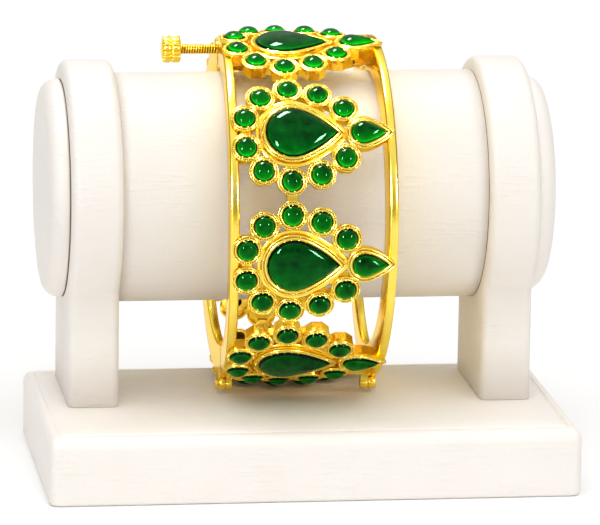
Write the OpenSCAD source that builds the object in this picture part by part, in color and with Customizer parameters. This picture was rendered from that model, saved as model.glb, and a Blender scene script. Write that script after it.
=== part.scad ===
// Openwork gold bangle set with green cabochons, hung on a padded display stand.
// Millimetres. X runs along the stand's bar, Y away from the viewer, Z up.
// The origin is the centre of the base's underside.

/* [Stand base] */
// width of the base along the bar
base_w = 105.9; // [90:0.1:130]
// depth of the base, front to back
base_d = 62.0; // [50:0.1:90]
// height of the base
base_h = 13.6; // [10:0.1:20]
// rounding of the base's upright corners
base_corner = 2.0; // [1:0.1:4]
// rounding of the base's long edges
base_edge = 1.5; // [0.5:0.1:3]
// seam of the top panel, inset from the base's ends
seam_in_x = 2.1; // [1:0.1:6]
// seam of the top panel, inset from the base's front and back
seam_in_y = 3.8; // [2:0.1:6]
// width of the seam's groove
seam_w = 0.3; // [0.2:0.05:0.6]
// depth of the seam's groove
seam_deep = 0.4; // [0.2:0.05:0.8]

/* [Stand roll and posts] */
// bar axis, behind the base's centre
bar_y = 13.2; // [0:0.1:20]
// bar axis, above the floor
bar_z = 55.0; // [45:0.1:65]
// radius of the bar
bar_r = 23.15; // [20:0.05:26]
// inner face of each post, from the middle
post_in = 36.75; // [30:0.05:42]
// thickness of each post along the bar
post_t = 10.2; // [7:0.1:14]
// radius of the posts' round heads
head_r = 25.9; // [24:0.1:30]
// front face of the leg, before the bar axis
leg_front = 18.3; // [12:0.1:24]
// back face of the leg, behind the bar axis
leg_back = 11.0; // [8:0.1:20]
// radius of the end caps
cap_r = 22.0; // [18:0.1:25]
// thickness of the end caps
cap_t = 3.9; // [3:0.1:6]
// rounding of the end caps' rims
cap_round = 3.2; // [1:0.1:3.5]
// gap between the stand's pieces
stand_gap = 0.12; // [0.05:0.01:0.3]

/* [Bangle] */
// ring centre along the bar
ring_x = 0.5; // [-5:0.1:5]
// ring centre above the floor
ring_z = 50.6; // [48:0.05:54]
// turn of the ring about the upright
ring_yaw = -1.8; // [-6:0.1:6]
// inner radius of the rails
ring_in = 28.2; // [26:0.1:34]
// outer radius of the rails
ring_out = 34.8; // [31:0.1:40]
// width of each rail
rail_w = 1.85; // [1.4:0.05:3]
// chamfer of the rails' edges
rail_chamfer = 0.4; // [0.1:0.05:0.6]
// left rail's outer face at the ends of each half
rail_left = -15.2; // [-20:0.1:-12]
// right rail's outer face at the ends of each half
rail_right = 16.2; // [12:0.1:20]
// outward bow of each rail at the middle of its half
rail_bow = 1.0; // [0:0.1:2]
// middle of the front half, degrees up from the front
front_mid = 13.9; // [0:0.1:30]
// spacing of the motifs in degrees
motif_step = 43.3; // [40:0.1:45]
// gap between the two halves at the parting faces
part_gap = 0.15; // [0.08:0.01:0.3]

/* [Bezel cups] */
// radius at which the motif is laid out
lay_r = 35.95; // [33:0.05:38]
// radius of a round cup's rim
rim_r = 2.9; // [2.5:0.05:3.2]
// radius of a round cup's inner lip
lip_r = 2.48; // [2.2:0.02:2.8]
// underside of the cups, from the ring axis
cup_low = 33.0; // [31:0.1:34]
// seat of the stones, from the ring axis
seat_z = 35.05; // [34:0.05:36]
// top of the rims, from the ring axis
rim_z = 35.5; // [35:0.05:36.5]
// top of the inner lips, from the ring axis
lip_z = 35.62; // [35:0.05:36.6]
// gap between a stone and its cup
stone_gap = 0.08; // [0.05:0.01:0.15]

/* [Stones] */
// radius of the round stones
round_r = 2.07; // [1.8:0.01:2.4]
// height of the round stones
round_h = 1.75; // [1:0.05:2]
// head radius of the large pear stones
pear_r = 5.3; // [4.5:0.1:6]
// length of the large pears, from head centre to tip
pear_l = 9.1; // [8:0.1:11]
// flank radius of the large pears
pear_flank = 22.0; // [15:0.5:40]
// height of the large pears
pear_h = 2.2; // [1.4:0.05:3]
// head radius of the small pear stones
drop_r = 2.45; // [2:0.05:3]
// length of the small pears, from head centre to tip
drop_l = 4.75; // [4:0.05:6]
// flank radius of the small pears
drop_flank = 12.0; // [8:0.5:20]
// height of the small pears
drop_h = 1.9; // [1:0.05:2]

/* [Hinges and closure] */
// radius of the hinge axis
hinge_r = 35.85; // [34:0.1:37]
// radius of the hinge knuckles
knuckle_r = 1.3; // [1:0.05:1.6]
// radius of the hinge pins
pin_r = 0.6; // [0.4:0.05:0.8]
// running clearance of the pins and the screw
run_fit = 0.05; // [0.03:0.01:0.08]
// screw axis, from the ring axis
screw_r = 32.0; // [31:0.1:33]
// radius of the screw's shaft
shaft_r = 1.1; // [0.9:0.05:1.3]
// outer end of the screw's knob along the ring axis
knob_out = -26.6; // [-30:0.1:-24]
// inner end of the screw's knob
knob_in = -22.75; // [-25:0.05:-20]
// radius of the knob over its flutes
knob_r = 2.75; // [2.4:0.05:3.2]
// inner end of the screw's shaft
shaft_in = -14.3; // [-15:0.05:-14.3]

/* [Hidden] */
$fn = 48;
post_mid = post_in + post_t / 2;
cap_in = post_in + post_t + stand_gap;
half_turn = 90;
back_mid = front_mid + 180;
hinge_t = front_mid - 90;
closure_t = front_mid + 90;
end_lean = asin(part_gap / 2 / ring_in);
arc_deg = 180 / PI / lay_r;
lean = asin(rail_bow / ring_out);
room = 0.12;
girdle = 0.25;
back_r = 1.5;
cup_inset = 0.12;
pear_u = -3.62;
pear_wall = 1.1;
drop_u = 10.5;
drop_wall = 1.0;
link_w = 2.0;
link_low = 33.4;
link_high = 35.1;
link_run = 2.6;
neck_run = 2.2;
joint_run = 2.4;
foot_turn = 18.6;
foot_run = 3.4;
bar_gap = 0.1;
bar_w = 1.5;
bar_low = 33.0;
bar_high = 34.4;
top_bar_low = 33.4;
top_bar_high = 34.7;
lug_r = 1.75;
lug_low = 28.85;
flutes = 17;
flute_r = 0.33;
knob_mid = (knob_out + knob_in) / 2;
MOTIFS = [1.5, 0.5, -0.5, -1.5];
DROP = ["drop", 10.5, 0];

// name, place along the ring axis, place along the arc, for the round stones of one motif
ROUNDS = [
    ["top",         -3.98,  10.17],
    ["top_right",    1.88,   8.82],
    ["tip_upper",    6.88,   5.41],
    ["tip_lower",    6.88,  -5.41],
    ["foot_right",   1.88,  -8.82],
    ["foot",        -3.98, -10.17],
    ["foot_left",   -9.55,  -8.05],
    ["left_lower", -12.87,  -3.20],
    ["left_upper", -12.87,   3.20],
    ["top_left",    -9.55,   8.05],
];

// points of a rectangle with rounded corners, k steps to a corner
function soft_rect(w, d, r, k) = [
    for (q = [0 : 3], i = [0 : k])
        let (a = 90 * q + 90 * i / k, sx = (q == 0 || q == 3) ? 1 : -1, sy = q < 2 ? 1 : -1)
        [sx * (w / 2 - r) + r * cos(a), sy * (d / 2 - r) + r * sin(a)]
];

// pear outline: a round head about the origin and two arched flanks that meet at the tip
function flank_x(r, l, f) = (l * l + r * r - 2 * f * r) / (2 * l);
function flank_y(r, l, f) = sqrt(pow(f - r, 2) - pow(flank_x(r, l, f), 2));
function flank_side(r, l, f, d, n) =
    let (x = flank_x(r, l, f), y = flank_y(r, l, f), a0 = asin(y / (f + d)), a1 = atan2(y, -x))
    [for (i = [0 : n]) let (a = a0 + (a1 - a0) * i / n) [x + (f + d) * cos(a), (f + d) * sin(a) - y]];
function head_side(r, l, f, d, n) =
    let (a1 = atan2(flank_y(r, l, f), -flank_x(r, l, f)))
    [for (i = [1 : n - 1]) let (a = a1 + (360 - 2 * a1) * i / n) (r + d) * [cos(a), sin(a)]];
function pear(r, l, f, d, n) =
    let (side = flank_side(r, l, f, d, n))
    concat(side, head_side(r, l, f, d, 2 * n), [for (i = [n : -1 : 1]) [side[i][0], -side[i][1]]]);

module on_ring() {
    translate([ring_x, bar_y, ring_z]) rotate([0, 0, ring_yaw]) children();
}

// turns a local frame so that its +Z points outward at t degrees round the ring
module at(t, u = 0) {
    rotate([90 - t, 0, 0]) translate([u, 0, 0]) children();
}

module base() {
    color([0.92, 0.88, 0.83])
    difference() {
        intersection() {
            linear_extrude(base_h) polygon(soft_rect(base_w, base_d, base_corner, 4));
            translate([0, base_d / 2 + 1, base_h / 2 - 2]) rotate([90, 0, 0])
                linear_extrude(base_d + 2) polygon(soft_rect(base_w, base_h + 4, base_edge, 4));
            translate([-base_w / 2 - 1, 0, base_h / 2 - 2]) rotate([90, 0, 90])
                linear_extrude(base_w + 2) polygon(soft_rect(base_d, base_h + 4, base_edge, 4));
        }
        translate([0, 0, base_h - seam_deep])
            difference() {
                translate([0, 0, 0.5]) cube([base_w - 2 * seam_in_x, base_d - 2 * seam_in_y, 1], center = true);
                translate([0, 0, 0.5]) cube([base_w - 2 * seam_in_x - 2 * seam_w,
                    base_d - 2 * seam_in_y - 2 * seam_w, 3], center = true);
            }
    }
}

module post(side) {
    color([0.92, 0.88, 0.83])
    translate([side * post_mid - post_t / 2, bar_y, 0]) rotate([90, 0, 90])
        linear_extrude(post_t)
            union() {
                translate([0, bar_z]) circle(r = head_r, $fn = 96);
                translate([-leg_front, base_h + stand_gap])
                    square([leg_front + leg_back, bar_z - base_h - stand_gap]);
            }
}

module bar() {
    color([0.92, 0.88, 0.83])
    translate([stand_gap - post_in, bar_y, bar_z]) rotate([0, 90, 0])
        cylinder(r = bar_r, h = 2 * (post_in - stand_gap), $fn = 96);
}

module end_cap(side) {
    color([0.92, 0.88, 0.83])
    translate([side * cap_in, bar_y, bar_z]) rotate([0, side * 90, 0])
        rotate_extrude($fn = 96)
            polygon(concat(
                [[0, 0], [cap_r, 0]],
                [for (i = [0 : 6]) [cap_r - cap_round + cap_round * cos(15 * i),
                    cap_t - cap_round + cap_round * sin(15 * i)]],
                [[0, cap_t]]));
}

// one rail: half a flat hoop whose plane leans outward, its middle at +Z
module rail(side) {
    face = side < 0 ? rail_left : rail_right;
    translate([face, 0, 0]) rotate([0, side * lean, 0]) rotate([0, 90, 0])
        rotate([0, 0, half_turn + end_lean])
            rotate_extrude(angle = 180 - 2 * end_lean, $fn = 96)
                polygon([
                    [ring_in, -side * (rail_w - rail_chamfer)],
                    [ring_in, -side * rail_chamfer],
                    [ring_in + rail_chamfer, 0],
                    [ring_out - rail_chamfer, 0],
                    [ring_out, -side * rail_chamfer],
                    [ring_out, -side * (rail_w - rail_chamfer)],
                    [ring_out - rail_chamfer, -side * rail_w],
                    [ring_in + rail_chamfer, -side * rail_w],
                ]);
}

// straight bar joining the rails near one end of a half, from y0 to y1 past the parting plane
module end_bar(t, y0, y1, low, high) {
    at(t)
        translate([rail_left + rail_w / 2, y0, low])
            cube([rail_right - rail_left - rail_w, y1 - y0, high - low]);
}

// cylinder along the ring axis from x0 to x1, its axis at radius r and angle t
module rod(t, r, x0, x1, radius) {
    at(t) translate([x0, 0, r]) rotate([0, 90, 0]) cylinder(r = radius, h = x1 - x0);
}

// hinge knuckle with the foot that joins it to its own end bar on the side y0 to y1
module knuckle(x0, x1, y0, y1) {
    rod(hinge_t, hinge_r, x0, x1, knuckle_r);
    at(hinge_t) translate([x0, y0, bar_low]) cube([x1 - x0, y1 - y0, hinge_r - bar_low]);
}

// closure lug, or the room it needs when grow is over 0
module lug(x0, x1, grow = 0) {
    rod(closure_t, screw_r, x0 - grow, x1 + grow, lug_r + grow);
    at(closure_t) translate([x0 - grow, -lug_r - grow, lug_low - grow])
        cube([x1 - x0 + 2 * grow, 2 * (lug_r + grow), screw_r - lug_low + grow]);
}

// strut between two neighbouring cups, at the middle of the arc between them
module link(p, q, length) {
    at(90 + (p[2] + q[2]) / 2 * arc_deg, (p[1] + q[1]) / 2)
        rotate([0, 0, atan2(q[2] - p[2], q[1] - p[1])])
            translate([-length / 2, -link_w / 2, link_low])
                cube([length, link_w, link_high - link_low]);
}

// strut from a round cup to the large bezel
module neck(s) {
    at(90 + s[2] * arc_deg, s[1])
        rotate([0, 0, atan2(-s[2], pear_u + 0.4 * max(0, s[1] - pear_u) - s[1])])
            translate([rim_r - 0.5, -link_w / 2, link_low])
                cube([neck_run, link_w, link_high - link_low]);
}

module bezel(r, l, f, wall, u) {
    translate([u, 0, 0]) {
        translate([0, 0, cup_low]) linear_extrude(seat_z - 0.1 - cup_low)
            polygon(pear(r, l, f, wall - 0.2, 4));
        translate([0, 0, seat_z - 0.2]) linear_extrude(rim_z - seat_z + 0.2)
            polygon(pear(r, l, f, wall, 7));
        translate([0, 0, seat_z - 0.15]) linear_extrude(lip_z - seat_z + 0.15)
            polygon(pear(r, l, f, 0.42, 7));
    }
}

module bezel_room(r, l, f, u) {
    translate([u, 0, 0]) {
        translate([0, 0, seat_z]) linear_extrude(4) polygon(pear(r, l, f, stone_gap, 7));
        translate([0, 0, cup_low - 1]) linear_extrude(4) polygon(pear(r, l, f, -1.0, 4));
    }
}

// metal of one motif, centred on +Z
module motif_metal() {
    for (s = ROUNDS)
        at(90 + s[2] * arc_deg, s[1]) {
            rotate([0, 0, 22.5]) translate([0, 0, cup_low])
                cylinder(r = rim_r - cup_inset, h = seat_z - 0.1 - cup_low, $fn = 8);
            translate([0, 0, seat_z - 0.2]) cylinder(r = rim_r, h = rim_z - seat_z + 0.2);
            translate([0, 0, seat_z - 0.15]) cylinder(r = lip_r, h = lip_z - seat_z + 0.15);
        }
    for (s = ROUNDS) neck(s);
    for (i = [0 : 9])
        if (i != 2) link(ROUNDS[i], ROUNDS[(i + 1) % 10], link_run);
    link(ROUNDS[2], DROP, link_run);
    link(ROUNDS[3], DROP, link_run);
    link(["tip", 6.2, 0], ["drop", 8.2, 0], 1.6);
    bezel(pear_r, pear_l, pear_flank, pear_wall, pear_u);
    bezel(drop_r, drop_l, drop_flank, drop_wall, drop_u);
}

// seats and open backs of one motif
module motif_room() {
    for (s = ROUNDS)
        at(90 + s[2] * arc_deg, s[1]) {
            translate([0, 0, seat_z]) cylinder(r = round_r + stone_gap, h = 3);
            translate([0, 0, cup_low - 1]) cylinder(r = back_r, h = 4);
        }
    bezel_room(pear_r, pear_l, pear_flank, pear_u);
    bezel_room(drop_r, drop_l, drop_flank, drop_u);
}

// rails, motifs and the links from motif to motif, with the middle of the half at +Z
module half_metal() {
    rail(-1);
    rail(1);
    for (m = MOTIFS) rotate([-m * motif_step, 0, 0]) motif_metal();
    for (m = [-1, 0, 1])
        at(90 + m * motif_step) translate([ROUNDS[0][1] - link_w / 2, -joint_run / 2, link_low])
            cube([link_w, joint_run, link_high - link_low]);
    for (m = [-1, 1])
        at(90 + m * (1.5 * motif_step + foot_turn))
            translate([ROUNDS[0][1] - link_w / 2, -foot_run / 2, link_low])
                cube([link_w, foot_run, link_high - link_low]);
}

module half_room() {
    for (m = MOTIFS) rotate([-m * motif_step, 0, 0]) motif_room();
}

module bangle_front_half() {
    color([0.85, 0.65, 0.2])
    on_ring() difference() {
        union() {
            at(front_mid) half_metal();
            end_bar(hinge_t, bar_gap, bar_gap + bar_w, bar_low, bar_high);
            end_bar(closure_t, -bar_gap - bar_w, -bar_gap, top_bar_low, top_bar_high);
            knuckle(-14.25, -13.1, bar_gap, bar_gap + bar_w);
            knuckle(13.15, 14.7, bar_gap, bar_gap + bar_w);
            lug(-14.05, -12.2);
            at(closure_t) translate([12.7, -bar_gap - bar_w, lug_low])
                cube([3.3, bar_w, top_bar_low + 0.3 - lug_low]);
        }
        at(front_mid) half_room();
        rod(hinge_t, hinge_r, -16.6, -14.3, knuckle_r + room);
        rod(hinge_t, hinge_r, 14.75, 17, knuckle_r + room);
        rod(hinge_t, hinge_r, -17, 17, pin_r + run_fit);
        lug(-15.4, -14.2, 0.075);
        rod(closure_t, screw_r, -17, -10, shaft_r + run_fit);
    }
}

module bangle_back_half() {
    color([0.85, 0.65, 0.2])
    on_ring() difference() {
        union() {
            at(back_mid) half_metal();
            end_bar(hinge_t, -bar_gap - bar_w, -bar_gap, bar_low, bar_high);
            end_bar(closure_t, bar_gap, bar_gap + bar_w, top_bar_low, top_bar_high);
            knuckle(-15.6, -14.35, -bar_gap - bar_w, -bar_gap);
            knuckle(14.8, 16.3, -bar_gap - bar_w, -bar_gap);
            lug(-15.4, -14.2);
            at(closure_t) translate([12.7, bar_gap, lug_low])
                cube([3.3, bar_w, top_bar_low + 0.3 - lug_low]);
        }
        at(back_mid) half_room();
        rod(hinge_t, hinge_r, -14.3, -12.95, knuckle_r + room);
        rod(hinge_t, hinge_r, 13, 14.75, knuckle_r + room);
        rod(hinge_t, hinge_r, -17, 17, pin_r + run_fit);
        lug(-14.05, -12.2, 0.075);
        rod(closure_t, screw_r, -17, -10, shaft_r + run_fit);
    }
}

module hinge_pin_left() {
    color([0.8, 0.6, 0.2])
    on_ring() {
        rod(hinge_t, hinge_r, -16.05, -13.2, pin_r);
        rod(hinge_t, hinge_r, -16.4, -15.95, 1.15);
    }
}

module hinge_pin_right() {
    color([0.8, 0.6, 0.2])
    on_ring() rod(hinge_t, hinge_r, 13.4, 16.25, pin_r);
}

module closure_screw() {
    color([0.85, 0.65, 0.2])
    on_ring() at(closure_t) translate([0, 0, screw_r]) rotate([0, 90, 0]) difference() {
        rotate_extrude()
            polygon([
                [0, knob_out],
                [1.6, knob_out + 0.1],
                [knob_r - 0.35, knob_out + 0.3],
                [knob_r, knob_out + 0.65],
                [knob_r, knob_mid - 0.25],
                [knob_r - 0.4, knob_mid],
                [knob_r, knob_mid + 0.25],
                [knob_r, knob_in - 0.45],
                [knob_r - 0.45, knob_in],
                [shaft_r, knob_in],
                [shaft_r, shaft_in - 0.2],
                [shaft_r - 0.2, shaft_in],
                [0, shaft_in],
            ]);
        for (i = [0 : flutes - 1])
            rotate([0, 0, i * 360 / flutes]) translate([knob_r + 0.05, 0, knob_out - 0.5])
                cylinder(r = flute_r, h = knob_in - knob_out + 1, $fn = 16);
    }
}

// domed stone on a pear outline: a short upright girdle, then rings that close to the crown
module domed_pear(r, l, f, h) {
    rim = pear(r, l, f, 0, 7);
    n = len(rim);
    low = seat_z + 0.05;
    crown = h - girdle;
    rings = concat([[1, low]], [for (k = [0 : 4]) [cos(18 * k), low + girdle + crown * sin(18 * k)]]);
    points = concat([for (g = rings, p = rim) [p[0] * g[0], p[1] * g[0], g[1]]], [[0, 0, low + h]]);
    last = (len(rings) - 1) * n;
    polyhedron(points, concat(
        [[for (i = [0 : n - 1]) i]],
        [for (k = [0 : len(rings) - 2], i = [0 : n - 1])
            [k * n + i, (k + 1) * n + i, (k + 1) * n + (i + 1) % n, k * n + (i + 1) % n]],
        [for (i = [0 : n - 1]) [last + i, len(rings) * n, last + (i + 1) % n]]));
}

// angle of motif k, 1 to 4 down the front and 5 to 8 on round the back
function motif_t(k) = k < 5 ? front_mid + MOTIFS[k - 1] * motif_step : back_mid + MOTIFS[k - 5] * motif_step;

module pear_stone(k) {
    color([0.0, 0.35, 0.15])
    on_ring() at(motif_t(k), pear_u) domed_pear(pear_r, pear_l, pear_flank, pear_h);
}

module drop_stone(k) {
    color([0.0, 0.45, 0.15])
    on_ring() at(motif_t(k), drop_u) domed_pear(drop_r, drop_l, drop_flank, drop_h);
}

module round_stones(k) {
    low = seat_z + 0.05;
    cap = round_h - girdle;
    ball = (round_r * round_r + cap * cap) / (2 * cap);
    color([0.0, 0.45, 0.15])
    on_ring() for (s = ROUNDS)
        at(motif_t(k) + s[2] * arc_deg, s[1]) translate([0, 0, low]) intersection() {
            cylinder(r = round_r, h = 3);
            translate([0, 0, round_h - ball]) sphere(r = ball);
        }
}

base();
post(-1);  // post_left
post(1);  // post_right
bar();
end_cap(-1);  // end_cap_left
end_cap(1);  // end_cap_right
bangle_front_half();
bangle_back_half();
hinge_pin_left();
hinge_pin_right();
closure_screw();
pear_stone(1);  // pear_stone_1
pear_stone(2);  // pear_stone_2
pear_stone(3);  // pear_stone_3
pear_stone(4);  // pear_stone_4
pear_stone(5);  // pear_stone_5
pear_stone(6);  // pear_stone_6
pear_stone(7);  // pear_stone_7
pear_stone(8);  // pear_stone_8
drop_stone(1);  // drop_stone_1
drop_stone(2);  // drop_stone_2
drop_stone(3);  // drop_stone_3
drop_stone(4);  // drop_stone_4
drop_stone(5);  // drop_stone_5
drop_stone(6);  // drop_stone_6
drop_stone(7);  // drop_stone_7
drop_stone(8);  // drop_stone_8
round_stones(1);  // round_stones_1
round_stones(2);  // round_stones_2
round_stones(3);  // round_stones_3
round_stones(4);  // round_stones_4
round_stones(5);  // round_stones_5
round_stones(6);  // round_stones_6
round_stones(7);  // round_stones_7
round_stones(8);  // round_stones_8
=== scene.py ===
"""Looks of the openwork bangle with green cabochons on its cream display stand."""
import math

import bpy
from mathutils import Matrix, Vector


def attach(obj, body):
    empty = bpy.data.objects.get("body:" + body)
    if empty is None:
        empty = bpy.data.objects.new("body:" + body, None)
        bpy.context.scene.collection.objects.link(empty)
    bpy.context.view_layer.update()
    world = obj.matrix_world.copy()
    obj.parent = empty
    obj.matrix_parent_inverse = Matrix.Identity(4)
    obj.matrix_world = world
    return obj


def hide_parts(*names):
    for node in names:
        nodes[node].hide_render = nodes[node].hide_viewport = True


MM = 0.001

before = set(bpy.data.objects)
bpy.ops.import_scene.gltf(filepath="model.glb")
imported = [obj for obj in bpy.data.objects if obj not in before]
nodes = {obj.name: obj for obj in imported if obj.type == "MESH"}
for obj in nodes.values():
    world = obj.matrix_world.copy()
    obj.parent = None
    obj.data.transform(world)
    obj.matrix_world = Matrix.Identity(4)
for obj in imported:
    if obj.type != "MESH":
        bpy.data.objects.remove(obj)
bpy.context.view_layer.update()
scene = bpy.context.scene
scene.view_settings.view_transform = "Standard"
scene.view_settings.look = "None"

# the ring's place on the stand, in millimetres and degrees, as in the part's source
RING_AT = (0.5, 13.2, 50.6)
RING_YAW = -1.8
FRONT_MID = 13.9
MOTIF_STEP = 43.3
LAY_R = 35.95
SCREW_R = 32.0
CLOSURE = FRONT_MID + 90
HINGE_R = 35.85
HINGE = FRONT_MID - 90

# one motif: place along the ring axis and along the arc of each round stone
ROUNDS = (
    (-3.98, 10.17), (1.88, 8.82), (6.88, 5.41), (6.88, -5.41), (1.88, -8.82),
    (-3.98, -10.17), (-9.55, -8.05), (-12.87, -3.20), (-12.87, 3.20), (-9.55, 8.05),
)
PEAR = dict(r=5.3, l=9.1, f=22.0, u=-3.62, h=2.2)
DROP = dict(r=2.45, l=4.75, f=12.0, u=10.5, h=1.9)
ROUND_R, ROUND_H = 2.07, 1.75

# distances from the ring axis: seats of the stones, tops of the rims and of the inner lips
SEAT = 35.05
RIM = 35.5
LIP = 35.62


def ring_frame():
    """Frame of the ring: X along its axis, origin at its centre."""
    x, y, z = RING_AT
    yaw = Matrix.Rotation(math.radians(RING_YAW), 4, "Z")
    return Matrix.Translation((x * MM, y * MM, z * MM)) @ yaw


def at(t, u=0.0, r=0.0):
    """Frame on the ring at t degrees: X along its axis, Z outward, shifted u along and r out."""
    turn = Matrix.Rotation(math.radians(90 - t), 4, "X")
    return ring_frame() @ turn @ Matrix.Translation((u * MM, 0, r * MM))


def motif_angles(back):
    """Degrees round the ring of one half's four motifs, from the closure to the hinge."""
    mid = FRONT_MID + (180 if back else 0)
    return [mid + m * MOTIF_STEP for m in (1.5, 0.5, -0.5, -1.5)]


def arc(v):
    """Degrees round the ring of v millimetres along the motif."""
    return math.degrees(v / LAY_R)


def pear_outline(r, l, f, d, n):
    """Pear outline grown by d, counterclockwise from the tip, about the head's centre."""
    x = (l * l + r * r - 2 * f * r) / (2 * l)
    y = math.sqrt((f - r) ** 2 - x * x)
    a0, a1 = math.asin(y / (f + d)), math.atan2(y, -x)
    side = []
    for i in range(n + 1):
        a = a0 + (a1 - a0) * i / n
        side.append((x + (f + d) * math.cos(a), (f + d) * math.sin(a) - y))
    head = []
    for i in range(1, 3 * n):
        a = a1 + (2 * math.pi - 2 * a1) * i / (3 * n)
        head.append(((r + d) * math.cos(a), (r + d) * math.sin(a)))
    return side + head + [(p[0], -p[1]) for p in side[:0:-1]]


def round_outline(r, n):
    """Circle of n points about the origin."""
    turns = [2 * math.pi * i / n for i in range(n)]
    return [(r * math.cos(a), r * math.sin(a)) for a in turns]


def outward(path):
    """Outward normals of a closed counterclockwise path."""
    out = []
    for i, p in enumerate(path):
        a, b = path[i - 1], path[(i + 1) % len(path)]
        dx, dy = b[0] - a[0], b[1] - a[1]
        size = math.hypot(dx, dy) or 1.0
        out.append((dy / size, -dx / size))
    return out


def walk(path, step):
    """Evenly spaced points along a closed path, about step apart."""
    legs = [math.dist(p, path[(i + 1) % len(path)]) for i, p in enumerate(path)]
    total = sum(legs)
    count = max(8, round(total / step))
    points = []
    i, gone = 0, 0.0
    for k in range(count):
        want = total * k / count
        while gone + legs[i] < want:
            gone += legs[i]
            i += 1
        share = (want - gone) / legs[i]
        p, q = path[i], path[(i + 1) % len(path)]
        points.append((p[0] + (q[0] - p[0]) * share, p[1] + (q[1] - p[1]) * share))
    return points


class Shape:
    """Points, faces and rim distances of one piece, gathered part by part."""

    def __init__(self):
        self.points = []
        self.faces = []
        self.rims = []

    def add(self, points, faces, place, rims=None):
        """Adds points in local millimetres; rims are their distances from a stone's outline."""
        base = len(self.points)
        self.points += [place @ (Vector(p) * MM) for p in points]
        self.rims += rims or [0.0] * len(points)
        self.faces += [[base + i for i in f] for f in faces]

    def sweep(self, path, z, wide, tall, sides, place):
        """Closed tube on a flat path at height z: an oval of half width wide, half height tall."""
        normal = outward(path)
        points, faces = [], []
        n = len(path)
        for p, m in zip(path, normal):
            for k in range(sides):
                a = 2 * math.pi * k / sides
                points.append((p[0] + m[0] * wide * math.cos(a), p[1] + m[1] * wide * math.cos(a),
                               z + tall * math.sin(a)))
        for i in range(n):
            j = (i + 1) % n
            for k in range(sides):
                m = (k + 1) % sides
                faces.append((i * sides + k, j * sides + k, j * sides + m, i * sides + m))
        self.add(points, faces, place)

    def bead(self, x, y, z, r, place):
        """Small six-sided bead, open below, where the metal covers it."""
        points = [(x, y, z + r)]
        for k in range(6):
            a = math.pi * k / 3
            points.append((x + r * 0.9 * math.cos(a), y + r * 0.9 * math.sin(a), z + r * 0.3))
        for k in range(6):
            a = math.pi * (k + 0.5) / 3
            points.append((x + r * 0.85 * math.cos(a), y + r * 0.85 * math.sin(a), z - r * 0.6))
        faces = []
        for k in range(6):
            m = (k + 1) % 6
            faces.append((0, 1 + k, 1 + m))
            faces.append((1 + k, 7 + k, 1 + m))
            faces.append((7 + k, 7 + m, 1 + m))
        self.add(points, faces, place)

    def loft(self, rings, place, crown=None, rims=None):
        """Skin through rings of equally many points, closed flat, or to a crown point at the last."""
        n = len(rings[0])
        points = [p for r in rings for p in r]
        faces = [tuple(range(n))[::-1]]
        for k in range(len(rings) - 1):
            for i in range(n):
                j = (i + 1) % n
                faces.append((k * n + i, k * n + j, (k + 1) * n + j, (k + 1) * n + i))
        last = (len(rings) - 1) * n
        if crown is None:
            faces.append(tuple(range(last, last + n)))
        else:
            points.append(crown)
            faces += [(last + i, last + (i + 1) % n, last + n) for i in range(n)]
        self.add(points, faces, place, rims)

    def make(self, name, material, body):
        """The piece as one smooth mesh that rides on the body."""
        mesh = bpy.data.meshes.new(name)
        mesh.from_pydata([tuple(p) for p in self.points], [], self.faces)
        mesh.update()
        if any(self.rims):
            mesh.attributes.new("rim", "FLOAT", "POINT").data.foreach_set("value", self.rims)
        for f in mesh.polygons:
            f.use_smooth = True
        mesh.materials.append(material)
        piece = bpy.data.objects.new(name, mesh)
        scene.collection.objects.link(piece)
        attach(piece, body)
        return piece


def material(name):
    """New material, its node tree and its shader."""
    m = bpy.data.materials.new(name)
    m.use_nodes = True
    tree = m.node_tree
    shader = next(n for n in tree.nodes if n.type == "BSDF_PRINCIPLED")
    return m, tree, shader


def node(tree, kind, **values):
    """New node, with values set on its sockets or else on the node."""
    n = tree.nodes.new(kind)
    for key, value in values.items():
        if key in n.inputs:
            n.inputs[key].default_value = value
        else:
            setattr(n, key, value)
    return n


def place_coords(tree, scale=(1, 1, 1)):
    """Object coordinates in metres, scaled."""
    coords = node(tree, "ShaderNodeTexCoord")
    mapping = node(tree, "ShaderNodeMapping")
    mapping.inputs["Scale"].default_value = scale
    tree.links.new(coords.outputs["Object"], mapping.inputs["Vector"])
    return mapping.outputs["Vector"]


def noise(tree, coords, scale, detail=2.0):
    n = node(tree, "ShaderNodeTexNoise", Scale=scale, Detail=detail)
    tree.links.new(coords, n.inputs["Vector"])
    return n.outputs["Fac"]


def spread(tree, value, from_low, from_high, to_low, to_high):
    """Value taken from one range to another, and kept within it."""
    r = node(tree, "ShaderNodeMapRange")
    r.inputs["From Min"].default_value = from_low
    r.inputs["From Max"].default_value = from_high
    r.inputs["To Min"].default_value = to_low
    r.inputs["To Max"].default_value = to_high
    tree.links.new(value, r.inputs["Value"])
    return r.outputs["Result"]


def maths(tree, operation, a, b):
    """Two values added or multiplied."""
    m = node(tree, "ShaderNodeMath", operation=operation)
    tree.links.new(a, m.inputs[0])
    tree.links.new(b, m.inputs[1])
    return m.outputs["Value"]


def vector(tree, operation, a, b=None, fixed=None):
    """Vector maths on a and b, or on a and the fixed vector."""
    m = node(tree, "ShaderNodeVectorMath", operation=operation)
    tree.links.new(a, m.inputs[0])
    if b is not None:
        tree.links.new(b, m.inputs[1])
    if fixed is not None:
        m.inputs[1].default_value = fixed
    return m.outputs["Value" if operation == "DOT_PRODUCT" else "Vector"]


def bump(tree, height, strength, distance, below=None):
    b = node(tree, "ShaderNodeBump", Strength=strength, Distance=distance)
    tree.links.new(height, b.inputs["Height"])
    if below is not None:
        tree.links.new(below, b.inputs["Normal"])
    return b.outputs["Normal"]


def grey(v):
    return (v, v, v)


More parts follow.
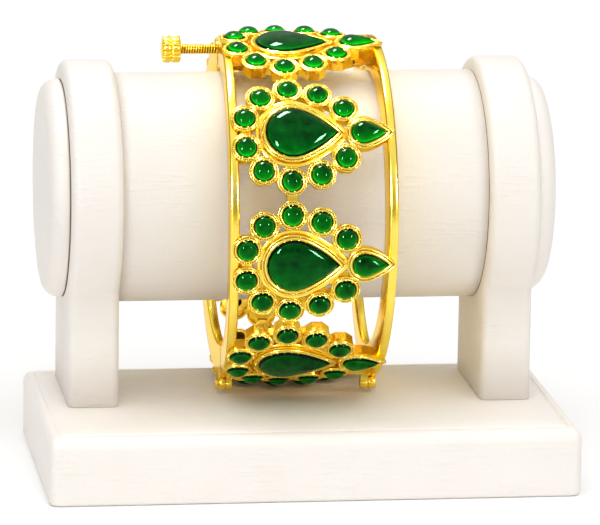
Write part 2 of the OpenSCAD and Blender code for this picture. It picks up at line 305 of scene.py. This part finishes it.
def ramp(tree, value, stops):
    """Colour of a value between stops of position and colour."""
    r = node(tree, "ShaderNodeValToRGB")
    e = r.color_ramp.elements
    while len(e) < len(stops):
        e.new(0.5)
    for k, (pos, colour) in enumerate(stops):
        e[k].position = pos
        e[k].color = (*colour, 1)
    tree.links.new(value, r.inputs["Fac"])
    return r.outputs["Color"]


def gold(name, deep, pale, rough, grain, grain_size):
    """Gold: colour drifting between deep and pale, worn gloss, and a cast skin of the given grain."""
    m, tree, shader = material(name)
    shader.inputs["Metallic"].default_value = 1.0
    coords = place_coords(tree)
    drift = noise(tree, coords, 260.0, 3.0)
    tree.links.new(ramp(tree, drift, [(0.3, deep), (0.7, pale)]), shader.inputs["Base Color"])
    worn = noise(tree, coords, 700.0)
    tree.links.new(spread(tree, worn, 0, 1, rough * 0.7, rough * 1.3), shader.inputs["Roughness"])
    skin = noise(tree, coords, grain_size, 3.0)
    tree.links.new(bump(tree, skin, grain, 0.0001), shader.inputs["Normal"])
    shader.inputs["Specular Tint"].default_value = (1.0, 0.82, 0.40, 1)
    return m


def cabochon(name, deep, body, painted_glow, crown_share, veins, outline=0.0):
    """Green stone with painted light and shade: a painted glow where the surface leans towards the
    hinge, painted shade at its crown, and at the rim a painted dark outline with a painted bright band.

    The painted outline starts at the rim and is wider by the given millimetres.
    """
    m, tree, shader = material(name)
    shader.inputs["Roughness"].default_value = 0.04
    shader.inputs["IOR"].default_value = 1.22
    shader.inputs["Specular Tint"].default_value = (0.40, 1.0, 0.60, 1)
    coords = node(tree, "ShaderNodeTexCoord")
    centre = tuple(v * MM for v in RING_AT)
    spoke = vector(tree, "SUBTRACT", coords.outputs["Object"], fixed=centre)
    spoke = vector(tree, "MULTIPLY", spoke, fixed=(0, 1, 1))
    along = vector(tree, "NORMALIZE", vector(tree, "CROSS_PRODUCT", spoke, fixed=(1, 0, 0)))
    lean = vector(tree, "DOT_PRODUCT", coords.outputs["Normal"], along)
    outward_way = vector(tree, "NORMALIZE", spoke)
    crown = vector(tree, "DOT_PRODUCT", coords.outputs["Normal"], outward_way)
    cloud = noise(tree, place_coords(tree), 420.0, 3.0)
    # painted light and shade by the way the surface faces: lighter where it leans towards the hinge,
    # darker where it faces out at the crown
    painted_light_from_lean = spread(tree, lean, 1, -1, 0, 1 - crown_share)
    painted_shade_from_crown = spread(tree, crown, 1, 0.2, 0, crown_share)
    light = maths(tree, "ADD", painted_light_from_lean, painted_shade_from_crown)
    light = maths(tree, "ADD", light, spread(tree, cloud, 0.25, 0.75, -veins, veins))
    green = ramp(tree, light, [(0.1, deep), (0.45, body), (0.9, painted_glow)])
    # painted shade and light at the rim: a dark outline, then a bright band, both thinner on the side
    # towards the hinge
    rim = node(tree, "ShaderNodeAttribute", attribute_name="rim")
    painted_edge_mask = maths(tree, "ADD", rim.outputs["Fac"], spread(tree, lean, 1, -1, -0.12, 0.12))
    stops = [(0.16 + outline, grey(0.05)), (0.34 + outline, grey(1.5)), (0.48 + outline, grey(1.0))]
    edge = ramp(tree, painted_edge_mask, stops)
    tree.links.new(vector(tree, "MULTIPLY", green, edge), shader.inputs["Base Color"])
    return m


def leatherette(name, pale, shade, painted_light_gain=None):
    """Leatherette: a fine pebble, and patchy creases along the bar.

    Where the bangle covers the bar its tint between pale and shade is multiplied by the given gain:
    painted light that lifts the shade the bangle casts there.
    """
    m, tree, shader = material(name)
    shader.inputs["Specular IOR Level"].default_value = 0.3
    coords = place_coords(tree)
    along = place_coords(tree, (0.13, 1.0, 1.0))
    cloud = noise(tree, coords, 70.0, 3.0)
    colour = ramp(tree, cloud, [(0.3, shade), (0.7, pale)])
    if painted_light_gain is not None:
        # painted light: a paler band across the bar's middle, where the bangle shades it
        split = node(tree, "ShaderNodeSeparateXYZ")
        tree.links.new(coords, split.inputs["Vector"])
        x = spread(tree, split.outputs["X"], -0.020, 0.020, 0, 1)
        painted_light_band = ramp(tree, x, [(0.08, grey(1)), (0.2, painted_light_gain), (0.82, painted_light_gain), (0.94, grey(1))])
        colour = vector(tree, "MULTIPLY", colour, painted_light_band)
    tree.links.new(colour, shader.inputs["Base Color"])
    rub = noise(tree, coords, 500.0)
    tree.links.new(spread(tree, rub, 0, 1, 0.5, 0.68), shader.inputs["Roughness"])
    pebble = node(tree, "ShaderNodeTexVoronoi", Scale=1500.0)
    tree.links.new(coords, pebble.inputs["Vector"])
    fine = bump(tree, pebble.outputs["Distance"], 0.3, 0.00010)
    crease = noise(tree, along, 1500.0, 3.0)
    patches = noise(tree, place_coords(tree, (0.5, 1.0, 1.0)), 130.0)
    patches = spread(tree, patches, 0.42, 0.62, 0.15, 1)
    raised = maths(tree, "MULTIPLY", spread(tree, crease, 0.45, 0.75, 0, 1), patches)
    tree.links.new(bump(tree, raised, 0.8, 0.00012, fine), shader.inputs["Normal"])
    return m


GOLD_CAST = gold("gold_cast", (1.0, 0.62, 0.045), (1.0, 0.73, 0.09), 0.23, 0.35, 1900.0)
GOLD_BRIGHT = gold("gold_bright", (1.0, 0.72, 0.08), (1.0, 0.80, 0.15), 0.18, 0.14, 1300.0)
# painted shade: near-black gold for the band under the beaded lines and the core in the thread's
# valleys
GOLD_SHADE = gold("gold_painted_shade", (0.10, 0.035, 0.005), (0.20, 0.08, 0.01), 0.45, 0.30, 1900.0)
# green stones: a painted dark colour, a body colour and a painted glow, the share of painted shade at
# the crown, the veins' spread, and for pears a wider painted outline
PEAR_GREEN = cabochon("green_pear", (0.0, 0.012, 0.002), (0.0, 0.105, 0.006), (0.0, 0.42, 0.010),
                      0.40, 0.17, 0.14)
ROUND_GREEN = cabochon("green_round", (0.0, 0.016, 0.002), (0.0, 0.20, 0.004), (0.0, 0.80, 0.006),
                       0.55, 0.14)
# painted shadow: a near-black stone material for the rings at the stones' edges
STONE_EDGE_SHADE = cabochon("green_edge_painted_shade", (0.002, 0.005, 0.002), (0.002, 0.006, 0.002),
                      (0.003, 0.008, 0.002), 0.5, 0.1)
# the same leatherette in three tones, as painted light and shade: the base lighter, the posts between,
# the bar darker
POST_CREAM = leatherette("post_leatherette", (0.905, 0.858, 0.805), (0.885, 0.835, 0.775))
# the bar's last colour is painted light, a gain that lifts its shade under the bangle
BAR_CREAM = leatherette("bar_leatherette", (0.87, 0.823, 0.77), (0.85, 0.80, 0.745),
                        (1.12, 1.18, 1.29))
CREAM = leatherette("cream_leatherette", (0.93, 0.885, 0.835), (0.91, 0.862, 0.805))
SHADOW_LINE = leatherette("seam_shadow", (0.20, 0.12, 0.06), (0.14, 0.08, 0.04))


for name in ("bangle_front_half", "bangle_back_half", "hinge_pin_left", "hinge_pin_right"):
    mesh = nodes[name].data
    mesh.materials.clear()
    mesh.materials.append(GOLD_CAST)


# the padded stand, in the same millimetres as the part's source

BASE_W, BASE_D, BASE_H, BASE_CORNER = 105.9, 62.0, 13.6, 2.0
SEAM_X, SEAM_Y = 2.1, 3.8
BAR_Y, BAR_Z, BAR_R = 13.2, 55.0, 23.15
POST_IN, POST_T, HEAD_R = 36.75, 10.2, 25.9
LEG_FRONT, LEG_BACK = 18.3, 11.0
CAP_R, CAP_T, CAP_ROUND = 22.0, 3.9, 3.2
STAND_GAP = 0.12
POST_ROUND = 1.7
# rounding of the base's foot, rounding of its upper edges in three directions, drop of its border
BASE_FOOT, ROLL_X, ROLL_Y, ROLL_Z, BORDER_DROP = 0.9, 1.85, 3.1, 2.3, 0.12


def rect_ring(w, d, r, z, k=5):
    """Rounded rectangle of w by d at height z, counterclockwise."""
    ring = []
    for q in range(4):
        sx, sy = (1, -1)[q in (1, 2)], (1, -1)[q > 1]
        for i in range(k + 1):
            a = math.radians(90 * q + 90 * i / k)
            ring.append((sx * (w / 2 - r) + r * math.cos(a), sy * (d / 2 - r) + r * math.sin(a), z))
    return ring


def quarter(n):
    """Sine and one minus cosine over a quarter turn, n steps."""
    return [(math.sin(math.pi / 2 * i / n), 1 - math.cos(math.pi / 2 * i / n)) for i in range(n + 1)]


def base_rings():
    """Rings from the underside out over the edges, down into the panel's seam and up onto the panel."""
    border = BASE_H - BORDER_DROP
    rings = []

    def ring(dx, dy, z):
        corner = max(BASE_CORNER - min(dx, dy) * 0.7, 0.5)
        rings.append(rect_ring(BASE_W - 2 * dx, BASE_D - 2 * dy, corner, z))

    ring(BASE_FOOT, BASE_FOOT, 0)
    for s, c in quarter(5)[1:]:
        ring(BASE_FOOT * (1 - s), BASE_FOOT * (1 - s), BASE_FOOT * c)
    for z in (4.0, 7.5):
        ring(0, 0, z)
    for s, c in quarter(8):
        ring(ROLL_X * c, ROLL_Y * c, border - ROLL_Z * (1 - s))
    for dip, out in ((0.06, 0.1), (0.25, 0.2), (0.5, 0.3)):
        ring(ROLL_X + out, ROLL_Y + 0.45 + out, border - dip)
    for s, c in quarter(6)[1:]:
        ring(SEAM_X + 0.1 + 0.8 * s, SEAM_Y + 0.1 + 0.8 * s, BASE_H - 0.55 + 0.5 * math.sqrt(s))
    ring(SEAM_X + 6, SEAM_Y + 6, BASE_H)
    return rings


def post_ring(x, inset):
    """Outline of a post, disc head over leg, drawn in by inset at x."""
    r = HEAD_R - inset
    front, rear = -LEG_FRONT + inset, LEG_BACK - inset
    low = BASE_H + STAND_GAP
    a0 = math.atan2(-math.sqrt(r * r - front * front), front)
    a1 = math.atan2(-math.sqrt(r * r - rear * rear), rear)
    a0 += 2 * math.pi
    n = 96
    points = [(x, BAR_Y + front, low), (x, BAR_Y + front, low + 12)]
    for i in range(n + 1):
        a = a0 + (a1 - a0) * i / n
        points.append((x, BAR_Y + r * math.cos(a), BAR_Z + r * math.sin(a)))
    return points + [(x, BAR_Y + rear, low + 12), (x, BAR_Y + rear, low)]


def circle_ring(x, r):
    """Circle about the bar's axis at x."""
    return [(x, BAR_Y + y, BAR_Z + z) for y, z in round_outline(r, 128)]


def stand_piece(name, rings, cad_node, mat, flip=False):
    """Cover through the rings that replaces a solid; flip where the rings run towards -X."""
    shape = Shape()
    shape.loft([r[::-1] for r in rings] if flip else rings, Matrix.Identity(4))
    piece = shape.make(name, mat, "stand")
    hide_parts(cad_node)


stand_piece("base_cover", base_rings(), "base", CREAM)
for side, label in ((-1, "left"), (1, "right")):
    flip = side < 0
    rings = [post_ring(side * (POST_IN + POST_ROUND * c), POST_ROUND * (1 - s))
             for s, c in quarter(8)]
    rings += [post_ring(side * (POST_IN + POST_T / 2), 0)]
    rings += [post_ring(side * (POST_IN + POST_T - POST_ROUND * c), POST_ROUND * (1 - s))
              for s, c in quarter(8)[::-1]]
    stand_piece("post_cover_" + label, rings, "post_" + label, POST_CREAM, flip)
    near = POST_IN + POST_T + STAND_GAP
    rings = [circle_ring(side * near, CAP_R - 0.4), circle_ring(side * (near + 0.25), CAP_R)]
    rings += [circle_ring(side * (near + CAP_T - CAP_ROUND * (1 - s)), CAP_R - CAP_ROUND * c)
              for s, c in quarter(10)]
    stand_piece("cap_cover_" + label, rings, "end_cap_" + label, POST_CREAM, flip)
reach = POST_IN - STAND_GAP
rings = [circle_ring(-reach + 2 * reach * i / 24, BAR_R) for i in range(25)]
stand_piece("bar_cover", rings, "bar", BAR_CREAM)


# stones: underside from the ring axis, height of the girdle, rings of a dome

STONE_LOW = SEAT + 0.05
GIRDLE = 0.25
DOME_RINGS = 13


def dome(shape, path, high, place):
    """Smooth dome on a flat outline, each point with its millimetres in from the outline."""
    rings = [[(x, y, STONE_LOW) for x, y in path]]
    rings.append([(x, y, STONE_LOW + GIRDLE * 0.8) for x, y in path])
    shrinks = [1.0, 1.0]
    for i in range(DOME_RINGS):
        a = math.pi / 2 * i / DOME_RINGS
        k = math.cos(a)
        z = STONE_LOW + GIRDLE + (high - GIRDLE) * math.sin(a)
        rings.append([(x * k, y * k, z) for x, y in path])
        shrinks.append(k)
    reach = [math.hypot(x, y) for x, y in path]
    rims = [(1 - k) * r for k in shrinks for r in reach] + [min(reach)]
    shape.loft(rings, place, crown=(0, 0, STONE_LOW + high), rims=rims)


def stone_piece(name, shape, mat, half, cad_node):
    """Stones that replace a node, on the body of their half."""
    piece = shape.make(name, mat, "stand" if half == "back" else "front_half")
    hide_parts(cad_node)


for half in ("front", "back"):
    for i, t in enumerate(motif_angles(half == "back")):
        k = i + (5 if half == "back" else 1)
        for kind, p, mat in (("pear", PEAR, PEAR_GREEN), ("drop", DROP, ROUND_GREEN)):
            shape = Shape()
            path = pear_outline(p["r"], p["l"], p["f"], 0, 14)
            dome(shape, path, p["h"], at(t, p["u"]))
            stone_piece("%s_cabochon_%d" % (kind, k), shape, mat, half, "%s_stone_%d" % (kind, k))
        shape = Shape()
        for u, v in ROUNDS:
            dome(shape, round_outline(ROUND_R, 32), ROUND_H, at(t + arc(v), u))
        stone_piece("round_cabochons_%d" % k, shape, ROUND_GREEN, half, "round_stones_%d" % k)


# painted shadow in the joints between the stand's pieces, as dark rings: x from and to, and radius

NEAR, FAR = 0.01, 0.11
POST_OUT = POST_IN + POST_T
joint_shadows = Shape()
for x0, x1, r in ((POST_IN - FAR, POST_IN - NEAR, BAR_R - 0.02),
                  (NEAR - POST_IN, FAR - POST_IN, BAR_R - 0.02),
                  (POST_OUT + NEAR, POST_OUT + FAR, CAP_R - 0.05),
                  (-POST_OUT - FAR, -POST_OUT - NEAR, CAP_R - 0.05)):
    joint_shadows.loft([circle_ring(x0, r), circle_ring(x1, r)], Matrix.Identity(4))
joint_shadows.make("joint_shadow_lines", SHADOW_LINE, "stand")


# rings of a cup: distance out from the stone's outline, height, half width, half height

LIP_RING = (0.28, LIP, 0.17, 0.13)
OUTER_RING = (0.76, RIM + 0.01, 0.11, 0.16)
# painted shade: a dark band under each beaded line
BEAD_BED = (0.56, RIM + 0.06, 0.13, 0.05)
# painted shadow: a near-black ring at each stone's edge, just under the lip
EDGE_SHADE_RING = (0.035, SEAT + 0.42, 0.085, 0.13)
FOOT_RING = (1.55, 34.7, 0.42, 0.2)
BEAD_STEP, BEAD_R, BEAD_Z = 0.47, 0.145, RIM + 0.11
GRAIN_R, GRAIN_Z = 0.21, LIP + 0.02
# shares of the way round a stone at which grains hold it: towards the closure, then the hinge
ROUND_GRAINS = (0.17, 0.24, 0.31, 0.69, 0.77)
PEAR_GRAINS = (0.20, 0.24, 0.28, 0.32, 0.36, 0.64, 0.69)
# how much wider the metal of a pear's cup is than that of a round one
PEAR_WIDER = 1.25


def grains(part, path, spots, place):
    """Grains raised over a stone's edge at the given shares of the way round it."""
    total = len(path)
    for share in spots:
        x, y = path[round(share * total) % total]
        part.bead(x, y, GRAIN_Z, GRAIN_R, place)


def cup_ring(part, path, ring, k, sides, place):
    """One ring of a cup, with its distance and width k times as large."""
    out, z, wide, tall = ring
    part.sweep(path(out * k), z, wide * k, tall, sides, place)


def cup_detail(gold_part, shade_part, edge_shade_part, path, place, k):
    """Lip, beaded line over a band of painted shade, outer ring, and a ring of painted shadow at the
    stone's edge, of one cup; path(d) is its stone's outline grown by d.
    """
    cup_ring(gold_part, path, LIP_RING, k, 8, place)
    cup_ring(gold_part, path, OUTER_RING, k, 8, place)
    cup_ring(shade_part, path, BEAD_BED, k, 6, place)
    for x, y in walk(path(BEAD_BED[0] * k), BEAD_STEP):
        gold_part.bead(x, y, BEAD_Z, BEAD_R, place)
    cup_ring(edge_shade_part, path, EDGE_SHADE_RING, 1.0, 6, place)


def round_path(d):
    return round_outline(ROUND_R + d, 32)


def pear_path(d):
    return pear_outline(PEAR["r"], PEAR["l"], PEAR["f"], d, 10)


def drop_path(d):
    return pear_outline(DROP["r"], DROP["l"], DROP["f"], d, 10)


for half, body in (("front", "front_half"), ("back", "stand")):
    # the third shape holds the rings of painted shadow at the stones' edges
    detail, shade, edge = Shape(), Shape(), Shape()
    for t in motif_angles(half == "back"):
        cups = [(round_path, at(t + arc(v), u), 1.0, ROUND_GRAINS) for u, v in ROUNDS]
        cups.append((pear_path, at(t, PEAR["u"]), PEAR_WIDER, PEAR_GRAINS))
        cups.append((drop_path, at(t, DROP["u"]), PEAR_WIDER, PEAR_GRAINS))
        for path, place, k, spots in cups:
            cup_detail(detail, shade, edge, path, place, k)
            grains(detail, path(0.02), spots, place)
        cup_ring(detail, pear_path, FOOT_RING, 1.0, 8, at(t, PEAR["u"]))
    detail.make("bezel_detail_" + half, GOLD_BRIGHT, body)
    shade.make("bezel_shade_" + half, GOLD_SHADE, body)
    edge.make("stone_edge_shades_" + half, STONE_EDGE_SHADE, body)


# polished rails over the cast ones

RING_IN, RING_OUT, RAIL_W = 28.2, 34.8, 1.85
RAIL_FACE = {-1: -15.2, 1: 16.2}
RAIL_BOW = 1.0
SKIN_GROW, SKIN_CORNER, RAIL_STEPS = 0.02, 0.55, 84
# radians by which a skin stops short of its rail's end: at a parting face, and at the screw
END_CLEAR = math.asin(0.075 / RING_IN)
SCREW_CLEAR = math.asin(1.8 / RING_IN)


def rail_piece(shape, side, mid, start, stop):
    """Rounded skin of one rail, a half hoop leaning outward, short of its ends by start and stop."""
    lean = math.asin(RAIL_BOW / RING_OUT)
    w, h = RAIL_W + 2 * SKIN_GROW, RING_OUT - RING_IN + 2 * SKIN_GROW
    section = rect_ring(w, h, SKIN_CORNER, 0, 4)
    face = Matrix.Translation((RAIL_FACE[side] * MM, 0, 0))
    place = at(mid) @ face @ Matrix.Rotation(side * lean, 4, "Y")
    middle = (RING_IN + RING_OUT) / 2
    rings = []
    for i in range(RAIL_STEPS + 1):
        a = start + (math.pi - start - stop) * i / RAIL_STEPS
        rings.append([(-side * RAIL_W / 2 + x, middle * math.cos(a) + y * math.cos(a),
                       (middle + y) * math.sin(a)) for x, y, _ in section])
    shape.loft(rings, place)


for half, body in (("front", "front_half"), ("back", "stand")):
    shape = Shape()
    for side in (-1, 1):
        near = SCREW_CLEAR if side < 0 else END_CLEAR
        ends = (near, END_CLEAR) if half == "front" else (END_CLEAR, near)
        rail_piece(shape, side, FRONT_MID + (180 if half == "back" else 0), *ends)
    piece = shape.make("rail_polish_" + half, GOLD_BRIGHT, body)


# closure screw

KNOB_OUT, KNOB_IN, KNOB_R = -26.6, -22.75, 2.75
FLUTES, FLUTE_DEPTH = 17, 0.55
SHAFT_R, SHAFT_IN = 1.14, -14.3
PITCH, THREAD, ROOT_R = 0.52, 0.36, 0.89


def lathe(shape, stations, n, radius, place):
    """Turned solid about the local X axis; radius(x, r, a) is each point's distance from it."""
    rings = []
    for x, r in stations:
        ring = []
        for i in range(n):
            a = 2 * math.pi * i / n
            d = radius(x, r, a)
            ring.append((x, d * math.cos(a), d * math.sin(a)))
        rings.append(ring)
    shape.loft(rings, place)


def even(x, r, a):
    return r


def flute(x, r, a):
    """Knob's radius, with slots that deepen towards its rim."""
    depth = FLUTE_DEPTH * min(1.0, max(0.0, (r - 2.0) / (KNOB_R - 2.2)))
    return r - depth * abs(math.cos(a * FLUTES / 2)) ** 8


def thread(x, r, a):
    """Shaft's radius, cut by a thread."""
    turn = (x / PITCH + a / (2 * math.pi)) % 1
    return r - THREAD * (1 - abs(2 * turn - 1)) ** 0.8


knob_mid = (KNOB_OUT + KNOB_IN) / 2
screw = Shape()
shaft_place = at(CLOSURE, 0, SCREW_R)
# knob: an outer face, then two rounded bands
stations = [(KNOB_OUT, 0.9), (KNOB_OUT + 0.04, 1.4)]
stations += [(KNOB_OUT + 0.12, 1.75), (KNOB_OUT + 0.22, 2.0)]
for x0, x1 in ((KNOB_OUT + 0.25, knob_mid), (knob_mid, KNOB_IN)):
    for f, drop in ((0.02, 0.42), (0.07, 0.16), (0.16, 0.03), (0.3, 0), (0.5, 0), (0.7, 0),
                    (0.84, 0.03), (0.93, 0.16), (0.98, 0.42)):
        stations.append((x0 + (x1 - x0) * f, KNOB_R - drop))
stations += [(KNOB_IN, 2.0), (KNOB_IN + 0.02, 0.9)]
lathe(screw, stations, FLUTES * 12, flute, shaft_place)
length = SHAFT_IN - KNOB_IN + 0.1
steps = round(length / (PITCH / 8))
stations = [(KNOB_IN - 0.1 + length * i / steps, SHAFT_R) for i in range(steps + 1)]
lathe(screw, stations, 24, thread, shaft_place)
piece = screw.make("closure_screw_threaded", GOLD_BRIGHT, "screw")
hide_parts("closure_screw")
# painted shade: a dark core that shows in the thread's valleys
root = Shape()
lathe(root, [(KNOB_IN, ROOT_R), (SHAFT_IN - 0.1, ROOT_R)], 24, even, shaft_place)
root.make("screw_thread_shade", GOLD_SHADE, "screw")


# rounded sleeves of the hinge barrels: x from and to along the hinge, and the body each rides on

KNUCKLE_R = 1.3
SLEEVES = ((-15.6, -14.35, "stand"), (-14.25, -13.1, "front_half"),
           (13.15, 14.7, "front_half"), (14.8, 16.3, "stand"))
# a sleeve's end: distance in from its end face, and radius
SLEEVE_END = [(0.5, 0.62), (0.0, 0.66), (-0.01, 0.95), (0.05, KNUCKLE_R - 0.12),
              (0.16, KNUCKLE_R + 0.01), (0.32, KNUCKLE_R + 0.06)]
hinge_place = at(HINGE, 0, HINGE_R)
for body in ("stand", "front_half"):
    barrel = Shape()
    for x0, x1, rides in SLEEVES:
        if rides != body:
            continue
        stations = [(x0 + dx, r) for dx, r in SLEEVE_END]
        stations += [(x1 - dx, r) for dx, r in SLEEVE_END[::-1]]
        lathe(barrel, stations, 40, even, hinge_place)
    barrel.make("hinge_sleeves_" + body, GOLD_BRIGHT, body)


# camera at the photo's angle

AZIMUTH, ELEVATION, ROLL = -8.25, 12.12, 0.90
TARGET = Vector((2.06, 13.2, 38.8)) * MM
DISTANCE = 1048.4 * MM
LENS = 308.7
az, el = math.radians(AZIMUTH), math.radians(ELEVATION)
back = Vector((math.sin(az) * math.cos(el), -math.cos(az) * math.cos(el), math.sin(el)))
camera_data = bpy.data.cameras.new("camera")
camera_data.lens = LENS
camera_data.sensor_width = 36.0
camera_data.clip_start = 0.05
camera_data.clip_end = 100.0
camera = bpy.data.objects.new("camera", camera_data)
scene.collection.objects.link(camera)
camera.rotation_mode = "QUATERNION"
camera.location = TARGET + back * DISTANCE
camera.rotation_quaternion = (-back).to_track_quat("-Z", "Y") @ Matrix.Rotation(
    math.radians(ROLL), 3, "Z").to_quaternion()
scene.camera = camera


# floor and lights

FLOOR = 12
floor_mesh = bpy.data.meshes.new("floor")
corners = [(-FLOOR, -FLOOR, 0), (FLOOR, -FLOOR, 0), (FLOOR, FLOOR, 0), (-FLOOR, FLOOR, 0)]
floor_mesh.from_pydata(corners, [], [(0, 1, 2, 3)])
floor = bpy.data.objects.new("floor", floor_mesh)
scene.collection.objects.link(floor)
paper, tree, shader = material("floor_white")
shader.inputs["Base Color"].default_value = (0.97, 0.97, 0.97, 1)
shader.inputs["Roughness"].default_value = 0.8
shader.inputs["Specular IOR Level"].default_value = 0.1
floor_mesh.materials.append(paper)


BOX_AIM, BOX_FAR = Vector((0, 0.01, 0.05)), 0.9
# a light's usual limit of bounces
ALL_BOUNCES = 1024


def softbox(name, direction, width, height, power, bounces=ALL_BOUNCES):
    """Rectangular light on the bangle, seen in reflections; without bounces the gold throws none on."""
    data = bpy.data.lights.new(name, "AREA")
    data.shape = "RECTANGLE"
    data.size = width
    data.size_y = height
    data.energy = power
    data.cycles.max_bounces = bounces
    lamp = bpy.data.objects.new(name, data)
    way = Vector(direction).normalized()
    lamp.location = BOX_AIM + way * BOX_FAR
    lamp.rotation_mode = "QUATERNION"
    lamp.rotation_quaternion = way.to_track_quat("Z", "Y")
    lamp.visible_diffuse = False
    scene.collection.objects.link(lamp)


softbox("top_box", (-0.14, 0.18, 0.97), 0.36, 0.19, 24.0)
softbox("left_box", (-0.60, -0.74, 0.30), 0.12, 0.24, 15.0, 0)
softbox("right_box", (0.55, -0.78, 0.30), 0.08, 0.18, 7.0)


def sun(name, direction, strength, angle):
    """Wide soft light on the matt surfaces; it stays out of the reflections."""
    data = bpy.data.lights.new(name, "SUN")
    data.energy = strength
    data.angle = math.radians(angle)
    lamp = bpy.data.objects.new(name, data)
    lamp.rotation_mode = "QUATERNION"
    lamp.rotation_quaternion = Vector(direction).normalized().to_track_quat("Z", "Y")
    lamp.visible_glossy = False
    scene.collection.objects.link(lamp)


sun("front_panel", (0.0, -0.42, 0.90), 1.02, 60)
sun("left_panel", (-0.95, -0.25, 0.25), 0.16, 40)
sun("camera_fill", (-0.14, -0.968, 0.21), 0.18, 10)

# sky: bright at the horizon and overhead, dark between for the gold to mirror, and dim at the sides
world = bpy.data.worlds.new("studio")
scene.world = world
world.use_nodes = True
wt = world.node_tree
sky = next(n for n in wt.nodes if n.type == "BACKGROUND")
coords = node(wt, "ShaderNodeTexCoord")
split = node(wt, "ShaderNodeSeparateXYZ")
wt.links.new(coords.outputs["Generated"], split.inputs["Vector"])
heights = [(0.0, grey(1.0)), (0.04, grey(0.9)), (0.10, (0.34, 0.34, 0.33)), (0.3, (0.40, 0.40, 0.39)),
           (0.5, grey(0.75)), (0.8, grey(1.0))]
up = ramp(wt, split.outputs["Z"], heights)
aside = node(wt, "ShaderNodeMath", operation="ABSOLUTE")
wt.links.new(split.outputs["X"], aside.inputs[0])
flags = spread(wt, aside.outputs["Value"], 0.62, 0.85, 1.0, 0.4)
dim = node(wt, "ShaderNodeVectorMath", operation="SCALE")
wt.links.new(up, dim.inputs[0])
wt.links.new(flags, dim.inputs["Scale"])
wt.links.new(dim.outputs["Vector"], sky.inputs["Color"])
sky.inputs["Strength"].default_value = 0.97
